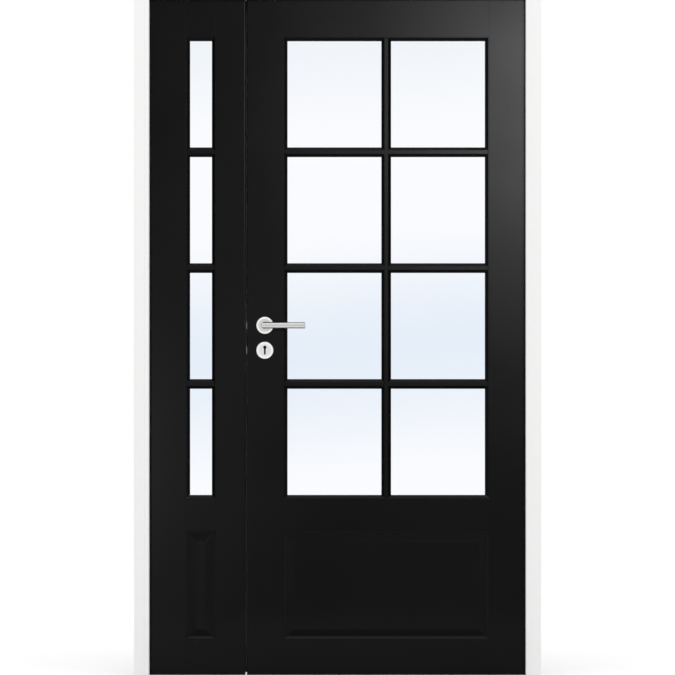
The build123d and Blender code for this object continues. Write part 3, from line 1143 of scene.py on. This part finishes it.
@dataclass
class EdgePlates:
    """Screws of the plates on the meeting edges, and the ribs of the flush bolts' levers.

    Attributes:
        palette: the door's finishes.
        screw_inset: distance of a screw from the end of its plate.
        bolt_height: height of a flush bolt's plate.
        rib_count: ribs on a flush bolt's lever.
        rib_pitch: distance from rib to rib.
        rib_fill: half a rib's width as a share of the pitch.
        rib_height: how far a rib stands off the lever.
        rib_half: half a rib's length.
        lever_recess: depth of the lever's face under the plate's.
    """

    palette: Palette
    screw_inset: float = 0.014
    bolt_height: float = 0.160
    rib_count: int = 9
    rib_pitch: float = 0.0050
    rib_fill: float = 0.42
    rib_height: float = 0.0008
    rib_half: float = 0.0034
    lever_recess: float = 0.0010

    rib_steps = 9

    def build(self) -> None:
        """Build and dress the plates of both meeting edges."""
        lock = Bounds.of("lock_faceplate")
        strike = Bounds.of("strike_plate")
        bolts = Bounds.of("flush_bolts")
        foot, top = bolts.span
        spans = [(foot, foot + self.bolt_height), (top - self.bolt_height, top)]
        self.screws("lock_screws", "main_leaf", lock, -1.0, [lock.span])
        self.screws("strike_screws", "side_leaf", strike, 1.0, [strike.span])
        self.screws("flush_bolt_screws", "side_leaf", bolts, 1.0, spans)
        ribs = Piece("flush_bolt_ribs", "side_leaf", "lock_steel")
        rises = (np.arange(self.rib_count) - (self.rib_count - 1) / 2) * self.rib_pitch
        for low, high in spans:
            for z in (low + high) / 2 + rises:
                ribs.add(self.rib(edge_seat(bolts.high[0] - self.lever_recess, bolts.centre[1], z, 1.0)))
        ribs.build(self.palette.lock)

    def screws(self, name: str, body: str, box: Bounds, way: float, spans: list[Range]) -> None:
        """Two screws for each plate of a node.

        Args:
            name: name of the piece.
            body: body that it rides on.
            box: the node's box.
            way: the way that the plates look along X.
            spans: foot and top of each plate.
        """
        piece = Piece(name, body, "lock_steel")
        face = box.high[0] if way > 0 else box.low[0]
        for low, high in spans:
            for z in (low + self.screw_inset, high - self.screw_inset):
                piece.add(Screw().patch(edge_seat(face, box.centre[1], z, way)))
        piece.build(self.palette.lock)

    def rib(self, seat: Seat) -> Patch:
        """A finger rib: half an ellipse carried across the lever.

        It is drawn in by sqrt(1 - a^4), with a running from -1 at one end of the rib to 1 at the other.

        Args:
            seat: the middle of the rib, on the lever.

        Returns:
            The rib's surface.
        """
        across = np.linspace(-1.0, 1.0, self.rib_steps)[:, None]
        angle = np.linspace(0.0, np.pi, self.rib_steps)[None, :]
        draw = np.sqrt(np.maximum(1 - across**4, 0.0))
        along = self.rib_fill * self.rib_pitch * draw * np.cos(angle)
        out = self.rib_height * draw * np.sin(angle)
        return Patch(seat.place(stacked(self.rib_half * across, along, out)))


@dataclass
class Seals:
    """The bulb seal round the frame's rebate and the lip seal between the leaves.

    Attributes:
        palette: the door's finishes.
        bulb_width: how far the bulb seal reaches from the rebate.
        lip_reach: how far the soft lip stands off the narrow leaf's edge.
        bulb_power: the power p that rounds a section; 1 is a half ellipse, and less is squarer.
    """

    palette: Palette
    bulb_width: float = 0.008
    lip_reach: float = 0.0043
    bulb_power: float = 0.7

    steps = 28
    crease = 60.0

    def build(self) -> None:
        """Build and dress both seals."""
        self.frame_seal()
        self.meeting_seal()

    def bulb(self, width: float, depth: float) -> tuple[np.ndarray, np.ndarray]:
        """Section of a bulb for t to 180 degrees: width (1 - cos t) / 2 by depth |sin t|^p off its foot."""
        turn = np.linspace(0.0, np.pi, self.steps)
        return width * (1 - np.cos(turn)) / 2, depth * np.abs(np.sin(turn)) ** self.bulb_power

    def frame_seal(self) -> None:
        """The bulb carried up one jamb, along the head and down the other, mitred where it turns.

        A point of the section at distance a from the rebate runs along x = left + a, z = top - a and
        x = right - a.
        """
        box = Bounds.of("frame_seal")
        inset, off = self.bulb(self.bulb_width, box.size[1])
        left = box.low[0] + inset
        right = box.high[0] - inset
        top = box.high[2] - inset
        foot = np.full(self.steps, box.low[2])
        xs = np.stack([left, left, right, right])
        zs = np.stack([foot, top, top, foot])
        piece = Piece("frame_bulb_seal", "frame", "frame_seal", sharp=self.crease)
        piece.add(Patch(stacked(xs, box.low[1] + off, zs), wrap_columns=True))
        piece.build(self.palette.pale_seal, ("frame_seal",))

    def meeting_seal(self) -> None:
        """The lip carried up the meeting edge: the bulb's section turned to stand off that edge."""
        box = Bounds.of("meeting_seal")
        inset, off = self.bulb(box.size[1], self.lip_reach)
        heights = np.array(box.span)[:, None]
        piece = Piece("meeting_lip_seal", "side_leaf", "meeting_seal", sharp=self.crease)
        piece.add(Patch(stacked(box.low[0] + off, box.low[1] + inset, heights), wrap_columns=True))
        piece.build(self.palette.grey_seal, ("meeting_seal",))


@dataclass
class GlassBeads:
    """The thin black bead that seals each pane to its bars, on both faces.

    Attributes:
        palette: the door's finishes.
        rows: panes up a leaf.
        moulding: width of the moulding round the glazing.
        bar: width of a glazing bar.
        bead: size of the bead.
    """

    palette: Palette
    rows: int = 4
    moulding: float = 0.011
    bar: float = 0.0274
    bead: float = 0.0009

    columns = {"side": 1, "main": 2}
    steps = 7
    crease = 60.0

    def build(self) -> None:
        """Build and dress the beads of both leaves."""
        for word, columns in self.columns.items():
            opening = Bounds.of(word + "_glazing_moulding")
            sheet = Bounds.of(word + "_glass")
            piece = Piece(word + "_glass_beads", word + "_leaf", "meeting_seal", sharp=self.crease)
            for across in self.panes(opening.low[0], opening.high[0], columns):
                for up in self.panes(*opening.span, self.rows):
                    piece.add(self.loop(across, up, sheet.low[1], Side.FRONT))
                    piece.add(self.loop(across, up, sheet.high[1], Side.BACK))
            piece.build(self.palette.black_bead)

    def panes(self, low: float, high: float, count: int) -> list[Range]:
        """Split an opening into panes.

        Args:
            low: one end of the opening.
            high: its other end.
            count: number of panes.

        Returns:
            Both ends of each pane.
        """
        clear = (high - low - 2 * self.moulding - (count - 1) * self.bar) / count
        starts = low + self.moulding + np.arange(count) * (clear + self.bar)
        return [(start, start + clear) for start in starts]

    def loop(self, across: Range, up: Range, glass: float, side: Side) -> Patch:
        """A hollow fillet carried round one pane.

        At inset a it stands b - sqrt(b^2 - (b - a)^2) off the glass, with b the size of the bead.

        Args:
            across: left and right edges of the pane.
            up: its lower and upper edges.
            glass: place of the glass's face.
            side: which face of the leaf.

        Returns:
            The bead's surface, mitred at the corners.
        """
        inset = np.linspace(0.0, self.bead, self.steps)
        off = self.bead - np.sqrt(np.maximum(self.bead**2 - (self.bead - inset) ** 2, 0.0))
        left, right = across[0] + inset, across[1] - inset
        foot, top = up[0] + inset, up[1] - inset
        xs = np.stack([left, right, right, left])
        zs = np.stack([foot, foot, top, top])
        return Patch(stacked(xs, glass + side.value * off, zs), wrap_rows=True)


@dataclass(frozen=True)
class Softbox:
    """A rectangular studio lamp.

    Attributes:
        name: the lamp's name.
        place: where it hangs.
        aim: the point that it faces.
        size: its width and height.
        power: its power in watts.
        sheen_on: the pieces that it shows on as a sheen, or None for a lamp that lights everything.
    """

    name: str
    place: Point
    aim: Point
    size: Range
    power: float
    sheen_on: bpy.types.Collection | None = None

    def build(self) -> None:
        """Hang the lamp, which shows in reflections but neither by itself nor through glass."""
        lamp = bpy.data.lights.new(self.name, "AREA")
        lamp.shape = "RECTANGLE"
        lamp.size, lamp.size_y = self.size
        lamp.energy = self.power
        made = bpy.data.objects.new(self.name, lamp)
        made.location = self.place
        made.rotation_euler = (Vector(self.aim) - Vector(self.place)).to_track_quat("-Z", "Y").to_euler()
        made.visible_camera = False
        made.visible_transmission = False
        if self.sheen_on:
            made.visible_diffuse = False
            made.light_linking.receiver_collection = self.sheen_on
        bpy.context.scene.collection.objects.link(made)


@dataclass
class Studio:
    """Camera, lamps, white surroundings and floor.

    Attributes:
        palette: the door's finishes.
        distance: from the camera to the leaves' front faces.
        picture_height: height of the leaves' plane that the picture takes in.
        eye_height: height of the camera.
        sensor: width of the camera's sensor in millimetres.
        far_clip: distance past which the camera sees nothing.
        floor_middle: place of the floor's middle across the doorway.
        floor_reach: half the width of the floor.
        floor_tone: how pale the floor is.
    """

    palette: Palette
    distance: float = 12.0
    picture_height: float = 2.031
    eye_height: float = 1.0254
    sensor: float = 36.0
    far_clip: float = 100.0
    floor_middle: float = 0.6
    floor_reach: float = 6.0
    floor_tone: float = 0.9

    floor_steps = 9
    white = (1.0, 1.0, 1.0, 1.0)

    def build(self) -> None:
        """Set up the studio round the dressed door."""
        self.camera()
        self.lamps()
        self.surroundings()
        self.floor()
        bpy.context.scene.view_settings.view_transform = "Standard"

    def camera(self) -> None:
        """A level camera square to the leaves, half way across the doorway."""
        doorway = (Bounds.of("left_jamb").low[0] + Bounds.of("right_jamb").high[0]) / 2
        front = Bounds.of("main_lock_stile").low[1]
        data = bpy.data.cameras.new("camera")
        data.sensor_width = self.sensor
        data.lens = self.sensor * self.distance / self.picture_height
        data.clip_end = self.far_clip
        made = bpy.data.objects.new("camera", data)
        made.location = (doorway, front - self.distance, self.eye_height)
        made.rotation_euler = (math.pi / 2, 0.0, 0.0)
        bpy.context.scene.collection.objects.link(made)
        bpy.context.scene.camera = made

    def wearing(self, name: str, *finishes: Material) -> bpy.types.Collection:
        """Gather the pieces that wear some of the finishes.

        Args:
            name: the collection's name.
            *finishes: the finishes to look for.

        Returns:
            A collection of those pieces.
        """
        made = bpy.data.collections.new(name)
        for piece in bpy.context.scene.objects:
            if any(place.material in finishes for place in piece.material_slots):
                made.objects.link(piece)
        return made

    def lamps(self) -> None:
        """A box overhead and one behind; the others show only as a sheen on the leaves or the lever sets."""
        paint = self.wearing("painted_leaves", self.palette.leaf)
        steel = self.wearing("lever_sets", self.palette.lever, self.palette.rose, self.palette.key)
        boxes = (
            Softbox("overhead", (0.6, -2.0, 4.2), (0.6, -0.1, 0.9), (4.0, 3.0), 14.0),
            Softbox("behind", (0.9, 3.4, 3.2), (0.6, 0.0, 1.1), (2.4, 1.8), 10.0),
            Softbox("right_sheen", (2.45, -8.0, 2.27), (1.15, 0.0, 1.8), (2.3, 1.0), 347.0, paint),
            Softbox("left_sheen", (-0.89, -8.0, 0.45), (0.0, 0.0, 0.5), (0.3, 0.9), 29.0, paint),
            Softbox("left_bevels", (-1.23, -2.09, 0.31), (0.14, 0.0, 0.28), (0.56, 0.58), 1.4, paint),
            Softbox("right_bevels", (2.07, -2.09, 0.31), (0.8, 0.0, 0.28), (1.25, 0.58), 1.8, paint),
            Softbox("upper_bevels", (0.6, -5.0, 3.3), (0.6, 0.0, 0.43), (2.3, 1.0), 3.6, paint),
            Softbox("lower_bevels", (0.6, -0.225, 0.08), (0.6, 0.032, 0.504), (1.3, 0.29), 0.5, paint),
            Softbox("upper_glint", (0.5, -1.9, 3.3), (0.4, 0.0, 1.05), (1.6, 0.7), 2.0, steel),
            Softbox("lower_glint", (0.5, -0.9, 0.1), (0.4, 0.0, 1.05), (1.6, 0.3), 1.5, steel),
        )
        for box in boxes:
            box.build()

    def surroundings(self) -> None:
        """An even white all round, at which a colour shows as it is written."""
        world = bpy.data.worlds.new("surroundings")
        bpy.context.scene.world = world
        nodes = Nodes.fresh(world)
        light = nodes.add("Background", {"Color": self.white, "Strength": 1.0})
        nodes.add("OutputWorld", {"Surface": light.outputs[0]})

    def floor(self) -> None:
        """A plain pale floor that keeps the door's shadow."""
        reach = np.linspace(-self.floor_reach, self.floor_reach, self.floor_steps)
        patch = Patch(stacked(self.floor_middle + reach[:, None], reach[None, :], 0.0))
        mesh = bpy.data.meshes.new("floor")
        mesh.from_pydata(patch.points.reshape(-1, 3).tolist(), [], patch.quads(0).tolist())
        mesh.materials.append(self.floor_paint())
        made = bpy.data.objects.new("floor", mesh)
        bpy.context.scene.collection.objects.link(made)

    def floor_paint(self) -> Material:
        """A pale floor that looks white to the camera, in gloss and through glass, where nothing shades it.

        Returns:
            The floor's material.
        """
        made = bpy.data.materials.new("floor_pale")
        nodes = Nodes.fresh(made)
        rays = nodes.add("LightPath").outputs
        seen = nodes.math("MAXIMUM", rays["Is Camera Ray"], rays["Is Glossy Ray"])
        seen = nodes.math("MAXIMUM", seen, rays["Is Transmission Ray"])
        lit = nodes.add("BsdfDiffuse", {"Color": (self.floor_tone, self.floor_tone, self.floor_tone, 1.0)})
        glow = nodes.add("Emission", {"Color": self.white, "Strength": 1.0 - self.floor_tone})
        dark = nodes.add("Emission", {"Strength": 0.0})
        lift = nodes.add("MixShader", {0: seen, 1: dark.outputs[0], 2: glow.outputs[0]})
        both = nodes.add("AddShader", {0: lit.outputs[0], 1: lift.outputs[0]})
        nodes.add("OutputMaterial", {"Surface": both.outputs[0]})
        return made


def main() -> None:
    """Dress the door piece by piece, and set up the studio round it."""
    logging.basicConfig(level=logging.INFO, format="%(name)s: %(message)s")
    palette = Palette()
    for assembly in (PackedPieces, LeverSet, Hinges, EdgePlates, Seals, GlassBeads, Studio):
        assembly(palette).build()


if __name__ == "__main__":
    main()
